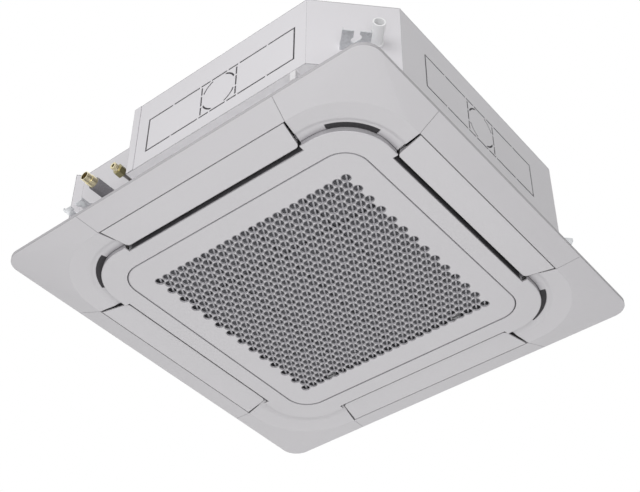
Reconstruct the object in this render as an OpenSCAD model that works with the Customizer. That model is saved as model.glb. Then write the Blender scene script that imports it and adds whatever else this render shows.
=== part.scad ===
// Four-way ceiling cassette air conditioner: a sheet-metal body above the ceiling,
// and a square panel below it with four louvers round a perforated intake grille.
// Origin: middle of the panel's lowest face. +Z up, -Y is the side with the pipe notch.

/* [Panel] */
// Width of the square panel
panel_w = 950; // [930:5:1000]
// Corner radius of the panel
panel_r = 40; // [30:1:60]
// Height of the rim's upper face, which meets the ceiling
rim_top = 28; // [26:0.5:32]
// Height of the rim's lower outer edge
rim_edge_z = 20.6; // [18:0.2:22]
// Width across the crease where the rim starts to rise
crease_w = 845; // [842:1:855]
// Corner radius of the crease
crease_r = 154; // [140:1:170]
// Height of the crease
crease_z = 6.2; // [5:0.1:7]
// Width across the flat inner ring
ring_w = 722; // [718:1:723]
// Corner radius of the inner ring
ring_r = 106; // [100:1:112]
// Thickness of the ring's lip at the grille and at the louvers
ring_t = 3; // [2.5:0.1:3.5]
// Width of the curved trough round the ring
trough_size = 28; // [24:1:29]
// Height of the trough's bottom
trough_z = 12; // [11:0.5:13.5]
// Wall of the moulded panel parts
shell_t = 2.6; // [2:0.1:3]
// Width of the air slot in each corner
corner_slot_w = 12.5; // [10:0.5:14]

/* [Louvers] */
// Length of a louver's outer edge
louver_len = 480; // [460:2:500]
// Loss of length at each end, from outer to inner edge
louver_taper = 15; // [5:1:20]
// Distance of a louver's inner edge from the middle of the panel
louver_inner = 356.5; // [355:0.5:358]
// Thickness of a louver at its edges
louver_t = 2.4; // [1.8:0.1:3]
// Gap at the ends of a louver
louver_end_gap = 4; // [3:0.25:5]
// Height of the louver axis
axis_z = 26; // [25:0.25:27]
// Distance of the louver axis from the middle of the panel
axis_r = 367; // [366:0.5:370]
// Radius of a louver pin
pin_r = 2.5; // [2:0.1:3]

/* [Grille] */
// Width of the square intake grille
grille_w = 614; // [606:1:618]
// Corner radius of the grille
grille_r = 55; // [45:1:60]
// Gap round the grille
seam = 1.5; // [1:0.1:2]
// Thickness of the perforated face
grille_t = 3; // [2.5:0.1:3.5]
// Height of the grille's face above the ring's face
grille_z = 0.5; // [0.3:0.1:0.8]
// Diameter of a perforation
hole_d = 17.8; // [15:0.1:18.5]
// Distance between neighbouring perforations
hole_pitch = 21.45; // [21:0.05:21.6]
// Number of perforation rows
hole_rows = 27; // [21:2:27]
// Perforations in a long row
hole_cols = 24; // [20:2:24]

/* [Body] */
// Width of the sheet-metal casing
body_w = 850; // [840:1:860]
// Height of the casing's top
top_z = 328; // [318:1:340]
// Height of the step under the casing
step_z = 133; // [131:0.5:137]
// Height of the body's underside
base_z = 44; // [43.5:0.25:46]
// Width of the lower skirt
skirt_w = 796; // [794:1:800]
// Leg of the cut corner with the drain outlet
drain_cut = 132; // [125:1:140]
// Leg of the other two cut corners
plain_cut = 145; // [135:1:155]
// Length of the pipe notch along the front
notch_len = 243; // [235:1:250]
// Depth of the pipe notch
notch_depth = 71; // [66:1:76]
// Thickness of the steel sheet
sheet_t = 1.2; // [0.8:0.1:1.5]
// Thickness of the foam liner
liner_t = 11; // [8:0.5:12]

/* [Knock-outs] */
// Length of a knock-out
ko_len = 397; // [300:1:410]
// Height of a knock-out
ko_h = 97; // [80:1:100]
// Height of the knock-outs' middle
ko_z = 215; // [212:1:225]
// Width of the punched slits
slit_w = 3.4; // [2:0.1:4]
// Length left between two slits
tie_w = 4.6; // [4:0.1:7]

/* [Hangers] */
// Distance between the suspension bolts, both ways
bolt_pitch = 760; // [756:1:764]
// Height of the hanger plates' lower face
hanger_z = 182; // [175:1:190]
// Width of a hanger
hanger_w = 57; // [50:1:64]
// Half width of a hanger's slot
bolt_slot_r = 6; // [5.5:0.1:6.5]
// Length of a hanger's slot, along X
bolt_slot_len = 24; // [20:1:26]
// Thickness of a hanger
hanger_t = 2.5; // [2:0.1:3]

/* [Pipes] */
// Radius of the gas union's thread
gas_r = 11; // [10:0.1:12]
// Place of the gas pipe along X
gas_x = -294; // [-300:1:-285]
// Height of the gas pipe
gas_z = 183.5; // [178:0.5:190]
// Radius of the gas pipe's insulation
gas_foam_r = 15; // [14:0.5:16]
// Radius of the liquid union's thread
liquid_r = 8; // [7:0.1:9]
// Place of the liquid pipe along X
liquid_x = -209.5; // [-214:0.5:-205]
// Height of the liquid pipe
liquid_z = 164; // [158:1:170]
// Reach of the pipe ends past the notch wall
pipe_reach = 90; // [86:1:96]
// Outer radius of the drain stub
drain_r = 13; // [12:0.5:14]
// Wall of the drain stub
drain_wall = 3; // [2:0.25:3.5]
// Reach of the drain stub past the cut corner
drain_reach = 52; // [45:1:60]
// Height of the drain stub
drain_z = 212; // [208:1:218]
// Place of the drain stub along the cut corner
drain_q = 42; // [40:1:46]

/* [Inside] */
// Outer radius of the turbo fan
fan_r = 230; // [210:1:236]
// Height of the turbo fan
fan_h = 144; // [130:1:148]
// Number of fan blades
blade_n = 7; // [5:1:9]
// Throat radius of the bell mouth
throat_r = 160; // [150:1:165]
// Radius of the fan motor
motor_r = 68; // [60:1:72]
// Thickness of the heat exchanger
coil_t = 38; // [26:1:40]
// Distance of the heat exchanger's inner face from the middle
coil_in = 268; // [264:1:270]
// Corner radius of the heat exchanger's inner face
coil_r = 40; // [30:1:60]

/* [Hidden] */

$fn = 48;
// Overrun of every cut
over = 1;
// Clearance between neighbouring pieces of the same body
fit_gap = 0.3;
// Thickness of the thin slices that blended shapes start from
slice = 0.01;

// panel
seam_flare = 257;
ring_edge = 2;
ring_step = 1;
trough_from = 0.4;
trough_n = 12;
trough_flat = 0.55;
hollow_share = 0.45;
slot_from = 18.4;
post_at = 300;
post_step = 95;
post_r = 4;
screw_x = 290;
screw_y = 380;
screw_r = 2.1;
screw_head_r = 4.5;
screw_head_h = 3.5;
screw_up = 6;
seal_t = 3;
outlet_edge = 6;
panel_h = panel_w / 2;
crease_h = crease_w / 2;
ring_h = ring_w / 2;
trough_h = ring_h + trough_size;
trough_r = ring_r + trough_size;
trough_edge_z = crease_z + (trough_z - crease_z) * hollow_share;
post_z = trough_edge_z + shell_t / 2;
end_low_z = trough_z + shell_t + 2 * fit_gap;
end_high_z = trough_edge_z + shell_t + 2 * fit_gap;
grille_h = grille_w / 2;
ring_in = grille_h + seam;
well_in = ring_in + shell_t;
duct_top = base_z - seal_t;

// louvers
louver_gap = 1.2;
louver_tip = 11;
louver_back = 6;
louver_n = 12;
louver_clear = 2.6;
ring_gap = 8;
boss_len = 9;
boss_r = 6.5;
bush_r = 4.5;
bush_lip = 1.2;
arm_gap = 2.1;
arm_t = 3;
arm_w = 8;
pin_end = 4;
drive_len = 4;
pin_gap = 0.05;
step_r = 10;
hub_r = 4;
hub_len = 6;
motor_off = 5.5;
motor_len = 18;
motor_space = 12;
motor_end = 8;
duct_foam = 1.5;
baffle_in = 1;
baffle_trim = 0.2;
louver_out = crease_h - louver_gap;
ring_notch = louver_inner - ring_gap;
motor_low = axis_z + motor_off - step_r - 2 * fit_gap;
duct_face = axis_r - louver_clear
    - sqrt(pow(axis_r - louver_inner, 2) + pow(axis_z - crease_z, 2));

// grille
lug_x = 202.5;
lug_t = 7;
lug_room = 14;
claw_side = 7.5;
claw_r = 10;
claw_t = 3;
claw_from = 4;
claw_to = 130;
pin_turn = 30;
lug_edge = 3.6;
hinge_pin_r = 2;
hinge_back = 30;
wall_in = 2;
wall_h = 8.5;
rib_t = 2;
ledge_w = 4;
ledge_h = 3.2;
bar_h = 3;
bar_w = 3.6;
bar_n = 21;
latch_x = 171.6;
latch_y = 246.5;
window_w = 17.6;
window_h = 10;
knob_w = 4.8;
knob_in = 1;
slider_w = 20;
slider_t = 2.2;
tongue_len = 2.3;
filter_w = 540;
filter_r = 30;
filter_rim = 8;
filter_t = 4;
net_t = 0.5;
pitch_y = hole_pitch * sqrt(3) / 2;
claw_out = claw_r + claw_t;
pin_y = -grille_h + (claw_out + fit_gap + hinge_pin_r) * cos(pin_turn);
pin_z = grille_z + (claw_out + fit_gap + hinge_pin_r) * sin(pin_turn);
lug_low = grille_z + grille_t + fit_gap;
claw_slot_z = grille_z - fit_gap + sqrt(pow(claw_r, 2) - pow(well_in + shell_t - grille_h, 2));
filter_z = grille_z + grille_t + ledge_h + bar_h + 2 * fit_gap;

// body
notch_bevel = 14;
skirt_cut = 108;
strip_w = 20;
hook_x = 262;
hook_w = 14;
hook_h = 25;
hook_t = 1.6;
flange_w = 10;
flange_r = 120;
lug_half = 12;
emboss_from = 110;
emboss_len = 260;
emboss_w = 24;
emboss_h = 1.5;
ko_front_x = 66.3;
ko_right_y = -14;
ko_r = 46;
ko_tie_a = 0.321;
ko_tie_b = 0.131;
ko_tie_c = 0.0567;
hanger_up = 20;
hanger_lip = 8;
hanger_end = 18;
gland_x = 120;
gland_z = 170;
gland_r = 12;
gland_lip = 3;
gland_len = 8;
cable_r = 6;
body_h = body_w / 2;
skirt_h = skirt_w / 2;
notch_x = -body_h + notch_len;
notch_y = -body_h + notch_depth;
duct_out = skirt_h - outlet_edge;
corner_at = sqrt(2) * body_h - drain_cut / sqrt(2);
liner_top = top_z - sheet_t - emboss_h - 2 * fit_gap;

// pipes and drain
pipe_in = 24;
pipe_step = 3;
pipe_wall = 1;
union_len = 28;
union_lip = 1;
liquid_reach = 86;
nut_r = 13;
nut_h = 15;
drain_in = 20;
drain_lip = 3;
drain_flange = 3;
pump_at = 452;
pump_len = 26;
pump_foot_r = 16;
pump_head = 36;
pump_r = 22;
pump_top = 196;
float_gap = 40;
float_r = 9;
float_h = 14;
sump_r = 26;
hose_r = drain_r - drain_wall - fit_gap;

// inside
pan_top = 104;
pan_in = 470;
slot_x = 226;
bell_z = 58;
bell_w = 500;
bell_h = 54;
bell_flare = 45;
bell_n = 10;
coil_z = 86.3;
coil_room = 2;
end_t = 1.5;
tube_step = 25;
tube_r = 4.8;
header_r = 9.5;
header_len = 150;
fan_z = 108;
shroud_in = 165;
shroud_h = 24;
curve_n = 8;
curve_from = 2;
blade_t = 3;
blade_in = 130;
blade_off = 100;
blade_curve = 140;
cup_r = 80;
cup_h = 60;
hub_boss_r = 14;
shaft_r = 4;
shaft_len = 62;
fan_nut_h = 6;
motor_h = 112;
motor_flange = 22;
mount_r = 8;
box_l = 300;
box_w = 95;
box_y = 205;
box_z = 20;
board_gap = 8;
board_t = 1.6;
board_l = 180;
board_in = 1;
chip_l = 33;
chip_w = 24;
chip_step = 50;
block_x = 75;
block_l = 60;
block_w = 32;
block_n = 4;
sensor_r = 4;
sensor_len = 20;
pump_low = coil_z;
coil_top = liner_top - liner_t - fit_gap;
cup_z = fan_z + fan_h - cup_h;

// Rounded square of width w and corner radius r
module rsq(w, r) {
    square([w, w - 2 * r], center = true);
    square([w - 2 * r, w], center = true);
    for (sx = [-1, 1], sy = [-1, 1])
        translate([sx * (w / 2 - r), sy * (w / 2 - r)])
            circle(r);
}

// Profile (x from the path, y up) carried round a rounded square path
module sweep(w, r, corners = [0, 1, 2, 3]) {
    for (i = [0:3])
        rotate([0, 0, 90 * i])
            translate([w / 2, w / 2 - r, 0])
                rotate([90, 0, 0])
                    linear_extrude(w - 2 * r)
                        children();
    for (i = corners)
        rotate([0, 0, 90 * i])
            translate([w / 2 - r, w / 2 - r, 0])
                rotate_extrude(angle = 90)
                    translate([r, 0])
                        children();
}

// Half length of a louver opening at distance y from the middle
function end_x(y) = louver_len / 2 + louver_end_gap
    - louver_taper * (crease_h - max(y, louver_inner)) / (crease_h - louver_inner);

// Turns children, drawn for the back side or the back right corner, to place i
module place(i) {
    rotate([0, 0, 90 * i])
        children();
}

// Prism along X of a shape drawn as (y, z)
module along_x(len) {
    rotate([90, 0, 90])
        linear_extrude(len, center = true)
            children();
}

// Round bar along X, starting at x = 0
module bar_x(len, r) {
    rotate([0, 90, 0])
        cylinder(len, r = r);
}

// Panel frame and corner covers

// Plan of one corner, between the ends of two louver openings
module corner_plan(gap) {
    polygon([
        [end_x(louver_inner) + gap, louver_inner - shell_t],
        [end_x(crease_h) + gap, crease_h],
        [seam_flare + gap, panel_h + over],
        [panel_h + over, panel_h + over],
        [panel_h + over, seam_flare + gap],
        [crease_h, end_x(crease_h) + gap],
        [louver_inner - shell_t, end_x(louver_inner) + gap]
    ]);
}

// Flat ring round the grille with its rounded outer edge
module ring_face() {
    difference() {
        union() {
            linear_extrude(ring_t)
                difference() {
                    rsq(ring_w - 2 * ring_edge, ring_r - ring_edge);
                    rsq(2 * ring_in, grille_r + seam);
                }
            sweep(ring_w - 2 * ring_edge, ring_r - ring_edge)
                intersection() {
                    square([ring_edge, ring_t]);
                    union() {
                        translate([0, ring_edge])
                            circle(ring_edge);
                        translate([0, ring_edge])
                            square([ring_edge, ring_t]);
                    }
                }
            // wall behind the ring's edge
            translate([0, 0, ring_t - over])
                linear_extrude(rim_top - ring_t + over)
                    difference() {
                        rsq(ring_w - 2 * ring_step, ring_r - ring_step);
                        rsq(ring_w - 2 * ring_step - 2 * shell_t, ring_r - ring_step - shell_t);
                    }
        }
        for (i = [0:3])
            place(i) {
                translate([-end_x(louver_inner), ring_notch, -over])
                    cube([2 * end_x(louver_inner), ring_h, duct_top]);
                translate([-end_x(louver_inner) - shell_t, ring_notch, ring_t])
                    cube([2 * end_x(louver_inner) + 2 * shell_t, ring_h, duct_top]);
                for (m = [0, 1])
                    mirror([m, 0])
                        translate([end_x(axis_r), ring_notch, motor_low])
                            cube([shell_t + motor_len + motor_end, ring_h, duct_top]);
            }
    }
}

// Walls of one outlet duct and the slope of the rim outside it
module duct() {
    intersection() {
        along_x(panel_w)
            polygon([
                [crease_h, crease_z], [panel_h, rim_edge_z], [panel_h, rim_top],
                [panel_h - shell_t, rim_top], [panel_h - shell_t, rim_edge_z + shell_t],
                [crease_h + shell_t, crease_z + 2 * shell_t], [duct_out + shell_t, duct_top],
                [duct_out, duct_top], [crease_h, crease_z + shell_t]
            ]);
        linear_extrude(base_z)
            polygon([
                [-end_x(duct_out) - shell_t, duct_out], [-end_x(crease_h), crease_h],
                [-seam_flare, panel_h + over], [seam_flare, panel_h + over],
                [end_x(crease_h), crease_h], [end_x(duct_out) + shell_t, duct_out]
            ]);
    }
    translate([-end_x(duct_face) - shell_t / 2, duct_face - shell_t, ring_t - over])
        cube([2 * end_x(duct_face) + shell_t, shell_t, duct_top - ring_t + over]);
    for (s = [-1, 1])
        difference() {
            union() {
                intersection() {
                    linear_extrude(duct_top)
                        polygon([
                            [s * end_x(duct_face), duct_face - shell_t],
                            [s * end_x(louver_inner), louver_inner],
                            [s * end_x(crease_h), crease_h],
                            [s * (end_x(crease_h) + shell_t), crease_h],
                            [s * (end_x(louver_inner) + shell_t), louver_inner],
                            [s * (end_x(duct_face) + shell_t), duct_face - shell_t]
                        ]);
                    along_x(panel_w)
                        polygon([
                            [duct_face - shell_t, ring_t - ring_edge / 2],
                            [ring_notch, ring_t - ring_edge / 2],
                            [ring_notch, end_low_z], [ring_h + corner_slot_w + ring_edge, end_low_z],
                            [trough_h, end_high_z], [crease_h, end_high_z],
                            [duct_out + shell_t, duct_top], [duct_face - shell_t, duct_top]
                        ]);
                }
                translate([s * (end_x(axis_r) - boss_len / 2 + shell_t), axis_r, axis_z])
                    rotate([0, 90, 0])
                        cylinder(boss_len, r = boss_r, center = true);
            }
            translate([s * end_x(axis_r), axis_r, axis_z])
                rotate([0, 90, 0])
                    cylinder(4 * boss_len, r = bush_r, center = true);
        }
}

// Flat web over one corner that carries the corner cover and the louver motor
module corner_web() {
    translate([0, 0, rim_top - shell_t])
        linear_extrude(shell_t)
            difference() {
                intersection() {
                    corner_plan(shell_t / 2);
                    rsq(panel_w - 2 * shell_t - 2 * fit_gap, panel_r - shell_t);
                }
                rsq(ring_w - 2 * ring_step - shell_t, ring_r - ring_step - shell_t / 2);
                for (m = [0, 1])
                    mirror([m, -m])
                        translate([end_x(axis_r), axis_r - motor_space])
                            square([shell_t + motor_len + motor_end, 2 * motor_space]);
                translate([screw_x, screw_y])
                    circle(screw_r + fit_gap);
            }
}

// Curved slot outside the ring, shortened by the angle trim at each end
module corner_slot(w, trim) {
    translate([ring_h - ring_r, ring_h - ring_r])
        intersection() {
            difference() {
                circle(ring_r + w);
                circle(ring_r - ring_step);
            }
            polygon([
                [0, 0],
                [panel_w * cos(slot_from + trim), panel_w * sin(slot_from + trim)],
                [panel_w * sin(slot_from + trim), panel_w * cos(slot_from + trim)]
            ]);
        }
}

// Well round the grille, closed upwards by the seal, with slots for the grille's claws
module intake_well() {
    difference() {
        translate([0, 0, ring_t - over])
            linear_extrude(duct_top - ring_t + over)
                difference() {
                    rsq(2 * well_in + 2 * shell_t, grille_r + seam + 2 * shell_t);
                    rsq(2 * well_in, grille_r + seam + shell_t);
                }
        for (s = [-1, 1])
            translate([s * lug_x + claw_side - lug_t / 2 - fit_gap, -well_in - shell_t - over, claw_slot_z])
                cube([lug_t + 2 * fit_gap, shell_t + 2 * over, grille_z + claw_out + fit_gap - claw_slot_z]);
    }
}

// Lugs over the grille's front edge, with rails that its claws turn on and bores for the pins
module hinge_lugs() {
    for (s = [-1, 1])
        translate([s * lug_x, 0, 0])
            difference() {
                union() {
                    along_x(lug_t)
                        polygon([
                            [-well_in - shell_t / 2, lug_low], [pin_y + lug_edge, lug_low],
                            [pin_y + lug_edge, pin_z + lug_edge], [-well_in - shell_t / 2, pin_z + lug_edge]
                        ]);
                    translate([claw_side / 2, 0, 0])
                        along_x(lug_t + claw_side)
                            intersection() {
                                translate([-grille_h, grille_z])
                                    circle(claw_r - fit_gap);
                                translate([-well_in - shell_t / 2, lug_low])
                                    square([grille_h, claw_r]);
                            }
                }
                translate([-lug_t, pin_y, pin_z])
                    bar_x(2 * lug_t, hinge_pin_r);
            }
}

module panel_frame() {
    color("gainsboro") {
        ring_face();
        for (i = [0:3])
            place(i) {
                duct();
                corner_web();
            }
        intake_well();
        hinge_lugs();
    }
}

// Body between the crease and the rim's top, shrunk by t and lifted by t
module dish(t) {
    hull() {
        translate([0, 0, crease_z + t])
            linear_extrude(slice)
                rsq(crease_w, crease_r);
        translate([0, 0, rim_edge_z + t])
            linear_extrude(rim_top - rim_edge_z + t)
                rsq(panel_w - 2 * t, panel_r - t);
    }
}

// Shallow hollow inside the crease, lifted by t
module dish_hollow(t) {
    hull() {
        translate([0, 0, crease_z - slice + t])
            linear_extrude(slice)
                rsq(crease_w, crease_r);
        translate([0, 0, trough_edge_z + t])
            linear_extrude(slice)
                rsq(2 * trough_h, trough_r);
    }
}

// Corner cover, drawn for the back right corner
module corner_cover() {
    intersection() {
        union() {
            difference() {
                dish(0);
                dish_hollow(0);
                difference() {
                    dish(shell_t);
                    dish_hollow(shell_t);
                }
                linear_extrude(rim_top)
                    rsq(2 * trough_h - slice, trough_r);
            }
            sweep(ring_w, ring_r, [0])
                    polygon(concat(
                        [for (k = [0:trough_n]) trough_point(k, 0)],
                        [for (k = [trough_n:-1:0]) trough_point(k, shell_t)]
                    ));
            for (p = [[1, 0], [0, 1], [1, 1]])
                translate([post_at + p[0] * post_step, post_at + p[1] * post_step, post_z])
                    cylinder(rim_top - shell_t - post_z, r = post_r);
        }
        translate([0, 0, -over])
            linear_extrude(2 * rim_top)
                difference() {
                    corner_plan(fit_gap);
                    corner_slot(corner_slot_w, 0);
                }
    }
}

// Point k of the trough's profile, t above its lower face
function trough_point(k, t) = [
    trough_from + (trough_size - trough_from) * k / trough_n,
    t + trough_edge_z + (trough_z - trough_edge_z)
        * (1 + cos(180 * max(0, (k / trough_n - trough_flat) / (1 - trough_flat)))) / 2
];

// Louvers and what stands in their ducts, drawn for the back side

module louver_plan() {
    a = atan(louver_taper / (louver_out - louver_inner));
    cx = louver_len / 2 - louver_taper - louver_tip / cos(a) + louver_tip * tan(a);
    polygon([
        [-louver_len / 2, louver_out], [louver_len / 2, louver_out],
        [cx + louver_tip * cos(a), louver_inner + louver_tip - louver_tip * sin(a)],
        [cx, louver_inner], [-cx, louver_inner],
        [-cx - louver_tip * cos(a), louver_inner + louver_tip - louver_tip * sin(a)]
    ]);
    for (s = [-1, 1])
        translate([s * cx, louver_inner + louver_tip])
            circle(louver_tip);
}

module louver() {
    arm_at = end_x(axis_r) + shell_t - boss_len - bush_lip - arm_gap;
    translate([0, 0, crease_z])
        linear_extrude(louver_t)
            louver_plan();
    // hollow of the blade closed by a curved back
    along_x(2 * arm_at - 2 * arm_t)
        polygon([for (k = [0:louver_n]) [
            louver_inner + louver_tip / 2 + (louver_out - louver_inner - louver_tip) * k / louver_n,
            crease_z + louver_t / 2 + louver_back * sin(180 * k / louver_n)
        ]]);
    for (s = [-1, 1]) {
        translate([s * arm_at, 0, 0])
            along_x(arm_t)
                polygon([
                    [axis_r - arm_w, crease_z + louver_t / 2],
                    [axis_r + 2 * arm_w, crease_z + louver_t / 2],
                    [axis_r + arm_w / 2, axis_z + arm_w / 2], [axis_r - arm_w / 2, axis_z + arm_w / 2]
                ]);
        translate([s * arm_at, axis_r, axis_z])
            rotate([0, s * 90, 0])
                cylinder(end_x(axis_r) + shell_t + pin_end + (s + 1) * drive_len / 2 - arm_at, r = pin_r);
    }
}

// Plain bushes of one louver
module bush_pair() {
    for (s = [-1, 1])
        translate([s * (end_x(axis_r) + shell_t), axis_r, axis_z])
            rotate([0, -s * 90, 0])
                difference() {
                    union() {
                        cylinder(boss_len + bush_lip, r = bush_r);
                        translate([0, 0, boss_len])
                            cylinder(bush_lip, r = boss_r);
                    }
                    translate([0, 0, -over])
                        cylinder(2 * boss_len, r = pin_r + pin_gap);
                }
}

module louver_bushes() {
    color("dimgray")
        for (i = [0:3])
            place(i)
                bush_pair();
}

// Geared motor that turns one louver, its hub on the louver's longer pin
module louver_motor() {
    translate([end_x(axis_r) + shell_t + hub_len, axis_r, axis_z])
        difference() {
            union() {
                translate([0, 0, motor_off])
                    bar_x(motor_len - hub_len, step_r);
                translate([-hub_len + fit_gap, 0, 0])
                    bar_x(hub_len, hub_r);
            }
            translate([-hub_len, 0, 0])
                bar_x(hub_len + drive_len, pin_r + pin_gap);
        }
}

module louver_motors() {
    color("silver")
        for (i = [0:3])
            place(i)
                louver_motor();
}

// Distance of the duct's slanted outer wall from the middle, at height z
function duct_line(z) = crease_h - (crease_h - duct_out) * (z - crease_z - shell_t)
    / (duct_top - crease_z - shell_t);

// Dark foam on the walls of one outlet duct
module duct_liner() {
    low = end_high_z + fit_gap;
    step = duct_foam + fit_gap;
    translate([-end_x(duct_face) + fit_gap, duct_face + fit_gap, ring_t + fit_gap])
        cube([2 * end_x(duct_face) - 2 * fit_gap, duct_foam, duct_top - ring_t - fit_gap]);
    intersection() {
        along_x(louver_len)
            polygon([
                [duct_line(low) - fit_gap, low], [duct_out - fit_gap, duct_top],
                [duct_out - step, duct_top], [duct_line(low) - step, low]
            ]);
        linear_extrude(base_z)
            polygon([
                [-end_x(duct_out) + step + fit_gap, 0], [-end_x(duct_out) + step + fit_gap, duct_out],
                [-end_x(crease_h) + step + fit_gap, crease_h], [end_x(crease_h) - step - fit_gap, crease_h],
                [end_x(duct_out) - step - fit_gap, duct_out], [end_x(duct_out) - step - fit_gap, 0]
            ]);
    }
    for (s = [-1, 1])
        intersection() {
            linear_extrude(duct_top)
                polygon([
                    [s * (end_x(trough_h) - fit_gap), trough_h], [s * (end_x(crease_h) - fit_gap), crease_h],
                    [s * (end_x(crease_h) - step), crease_h], [s * (end_x(trough_h) - step), trough_h]
                ]);
            along_x(panel_w)
                polygon([
                    [trough_h, low], [duct_line(low) - fit_gap, low],
                    [duct_out - fit_gap, duct_top], [trough_h, duct_top]
                ]);
        }
}

module duct_liners() {
    color("black")
        for (i = [0:3])
            place(i)
                duct_liner();
}

// Dark foam that fills the corner air slots
module slot_baffles() {
    color("black")
        for (i = [0:3])
            place(i)
                translate([0, 0, trough_z + baffle_in])
                    linear_extrude(rim_top - shell_t - trough_z - baffle_in)
                        corner_slot(corner_slot_w - fit_gap, baffle_trim);
}

// Intake grille with its filter and latches, drawn closed

module hole_rows_2d() {
    for (j = [0:hole_rows - 1])
        for (i = [0:hole_cols - 1 - j % 2])
            translate([
                (i - (hole_cols - 1 - j % 2) / 2) * hole_pitch,
                (j - (hole_rows - 1) / 2) * pitch_y
            ])
                circle(d = hole_d);
}

module intake_grille() {
    top = grille_z + grille_t;
    color("gainsboro") {
        difference() {
            union() {
                translate([0, 0, grille_z])
                    linear_extrude(grille_t)
                        difference() {
                            rsq(grille_w, grille_r);
                            hole_rows_2d();
                            for (s = [-1, 1])
                                translate([s * latch_x - window_w / 2, latch_y - window_h])
                                    square([window_w, window_h]);
                        }
                translate([0, 0, top - grille_t / 2])
                    linear_extrude(wall_h + grille_t / 2)
                        difference() {
                            rsq(grille_w - 2 * wall_in, grille_r - wall_in);
                            rsq(grille_w - 2 * wall_in - 2 * rib_t, grille_r - wall_in - rib_t);
                        }
                translate([0, 0, top - grille_t / 2])
                    linear_extrude(ledge_h + grille_t / 2)
                        difference() {
                            rsq(grille_w - 2 * wall_in - rib_t, grille_r - wall_in - rib_t / 2);
                            rsq(grille_w - 2 * wall_in - 4 * ledge_w, grille_r - wall_in - 2 * ledge_w);
                        }
            }
            for (s = [-1, 1]) {
                translate([s * lug_x - lug_room, -grille_h - over, top])
                    cube([2 * lug_room, hinge_back, base_z]);
                translate([s * latch_x - slider_w / 2 - fit_gap, latch_y + slider_w, top])
                    cube([slider_w + 2 * fit_gap, grille_h, base_z]);
            }
        }
        // latch guides
        for (s = [-1, 1], t = [-1, 1])
            translate([s * latch_x + t * (slider_w + rib_t + 2 * fit_gap) / 2 - rib_t / 2,
                latch_y + slider_w, top - grille_t / 2])
                cube([rib_t, grille_h - wall_in - ledge_w - latch_y - slider_w, ledge_h + grille_t / 2]);
        // claws that turn on the lugs' rails
        for (s = [-1, 1])
            translate([s * lug_x + claw_side, 0, 0])
                along_x(lug_t)
                    translate([-grille_h, grille_z])
                        intersection() {
                            difference() {
                                circle(claw_out);
                                circle(claw_r);
                            }
                            polygon([
                                [0, 0], for (a = [claw_from, (claw_from + claw_to) / 2, claw_to])
                                    2 * claw_out * [cos(a), sin(a)]
                            ]);
                        }
    }
}

module grille_backing_bars() {
    half = grille_h - wall_in - rib_t - fit_gap;
    line = hole_pitch * sqrt(3) / 2;
    color("gainsboro")
        translate([0, 0, grille_z + grille_t + ledge_h + fit_gap])
            linear_extrude(bar_h)
                difference() {
                    union() {
                        difference() {
                            rsq(2 * half, grille_r - grille_h + half);
                            rsq(2 * half - 2 * ledge_w, grille_r - grille_h + half - ledge_w);
                        }
                        intersection() {
                            rsq(2 * half - ledge_w, grille_r - grille_h + half - ledge_w / 2);
                            rotate(-60)
                                for (k = [-bar_n:bar_n])
                                    translate([-grille_w, line * k - bar_w / 2])
                                        square([2 * grille_w, bar_w]);
                        }
                    }
                    for (s = [-1, 1])
                        translate([s * lug_x - lug_room, -grille_h])
                            square([2 * lug_room, hinge_back]);
                }
}

module filter_frame() {
    color("dimgray")
        translate([0, 0, filter_z])
            linear_extrude(filter_t)
                difference() {
                    rsq(filter_w, filter_r);
                    difference() {
                        rsq(filter_w - 2 * filter_rim, filter_r - filter_rim);
                        for (k = [-1:1]) {
                            translate([k * filter_w / 4 - rib_t / 2, -filter_w / 2])
                                square([rib_t, filter_w]);
                            translate([-filter_w / 2, k * filter_w / 4 - rib_t / 2])
                                square([filter_w, rib_t]);
                        }
                    }
                }
}

module filter_net() {
    color("black")
        translate([0, 0, filter_z + filter_t])
            linear_extrude(net_t)
                rsq(filter_w - filter_rim, filter_r - filter_rim / 2);
}

module latch(s) {
    top = grille_z + grille_t + fit_gap;
    color("gray")
        translate([s * latch_x, 0, 0]) {
            translate([-slider_w / 2, latch_y - window_h, top])
                cube([slider_w, ring_in + tongue_len - latch_y + window_h, slider_t]);
            translate([-window_w / 2 + fit_gap, latch_y - knob_w, grille_z + knob_in])
                cube([window_w - 2 * fit_gap, knob_w - fit_gap, top - grille_z - knob_in + slider_t / 2]);
        }
}

module grille_hinge_pins() {
    color("silver")
        for (s = [-1, 1])
            translate([s * lug_x - lug_t / 2, pin_y, pin_z])
                bar_x(claw_side + lug_t, hinge_pin_r);
}

module panel_screws() {
    color("silver")
        for (i = [0:3])
            place(i)
                translate([screw_x, screw_y, 0]) {
                    translate([0, 0, rim_top - shell_t - screw_head_h])
                        cylinder(screw_head_h, r = screw_head_r);
                    translate([0, 0, rim_top - shell_t - screw_head_h / 2])
                        cylinder(base_z + screw_up - rim_top + shell_t + screw_head_h / 2, r = screw_r);
                }
}

module panel_seals() {
    color("black")
        translate([0, 0, duct_top])
            linear_extrude(seal_t)
                for (i = [0:3])
                    place(i)
                        difference() {
                            translate([-end_x(duct_out) - shell_t, duct_face - shell_t])
                                square([2 * end_x(duct_out) + 2 * shell_t,
                                    duct_out - duct_face + 2 * shell_t]);
                            translate([-end_x(duct_face), duct_face])
                                square([2 * end_x(duct_face), duct_out - duct_face]);
                        }
    color("black")
        translate([0, 0, duct_top])
            linear_extrude(seal_t)
                difference() {
                    rsq(2 * well_in + 2 * shell_t, grille_r + seam + 2 * shell_t);
                    rsq(2 * well_in, grille_r + seam + shell_t);
                }
}

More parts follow.
